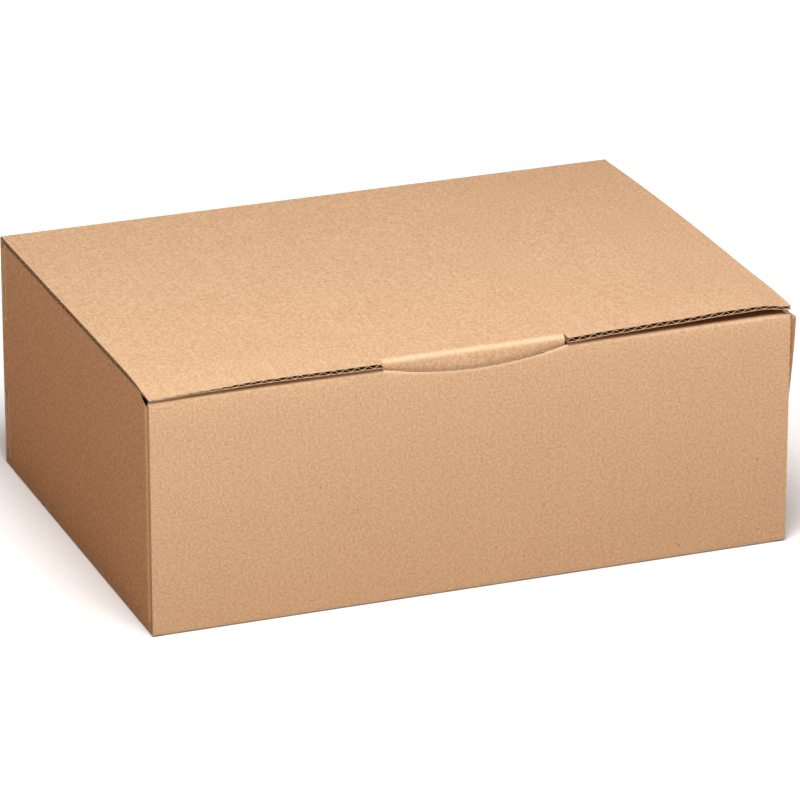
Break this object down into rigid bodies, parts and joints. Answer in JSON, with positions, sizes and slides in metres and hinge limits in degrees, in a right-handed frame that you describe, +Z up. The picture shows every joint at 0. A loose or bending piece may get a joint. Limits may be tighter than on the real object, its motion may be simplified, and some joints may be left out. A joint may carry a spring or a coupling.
{
  "type": "closed cardboard box",
  "caption": "Plain brown corrugated mailing box with a hinged lid, closed by a tongue tucked into a slot behind the front wall.",
  "frame": {"origin": "centre of the closed box's footprint, on the surface that it stands on", "axes": "+X to the right along the long front wall, +Y from the front wall to the rear crease, +Z up"},
  "size_m": [0.356, 0.254, 0.1335],
  "materials": {
    "kraft_board": "matt uncoated brown kraft liners over a fluted medium"
  },
  "bodies": {
    "box": {"box_body": "kraft_board"},
    "lid": {"lid": "kraft_board"}
  },
  "joints": [
    {"name": "lid_hinge", "type": "hinge", "parent": "box", "child": "lid", "pos_m": [0, 0.127, 0.1307], "axis": [-1, 0, 0], "range_deg": [0, 180]}
  ]
}
